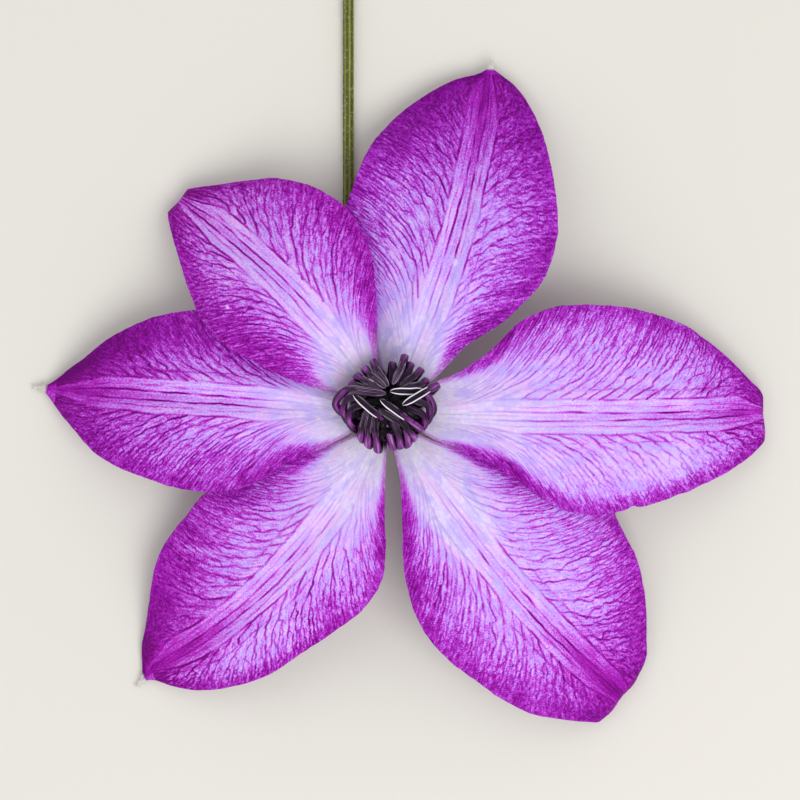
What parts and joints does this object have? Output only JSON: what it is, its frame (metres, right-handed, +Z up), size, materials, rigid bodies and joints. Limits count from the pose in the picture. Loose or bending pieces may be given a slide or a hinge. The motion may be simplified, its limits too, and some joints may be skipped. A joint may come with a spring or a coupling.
{
  "type": "clematis flower",
  "caption": "Cut clematis flower lying face up: pointed violet tepals with dark veins arch down to curled tips round a knot of dark stamens, on a thin green stalk.",
  "frame": {"origin": "on the surface that the flower lies on, under the middle of the whole, stalk included", "axes": "+Z up out of the flower's face, +Y along the stalk towards its cut end, +X to the right seen from above with the stalk pointing away"},
  "size_m": [0.0926, 0.115, 0.0188],
  "materials": {
    "tepal": "soft velvety petal, violet with a pale middle",
    "stalk": "green ribbed stem, satin, finely hairy",
    "stamen": "waxy, satin to glossy, dark purple",
    "carpel": "silky, greenish"
  },
  "bodies": {
    "root": {"flower_stalk": "stalk", "tepal_top": "tepal", "tepal_right": "tepal", "tepal_lower_right": "tepal", "tepal_lower_left": "tepal", "tepal_left": "tepal", "tepal_upper_left": "tepal", "stamens": "stamen", "carpels": "carpel"}
  },
  "joints": []
}
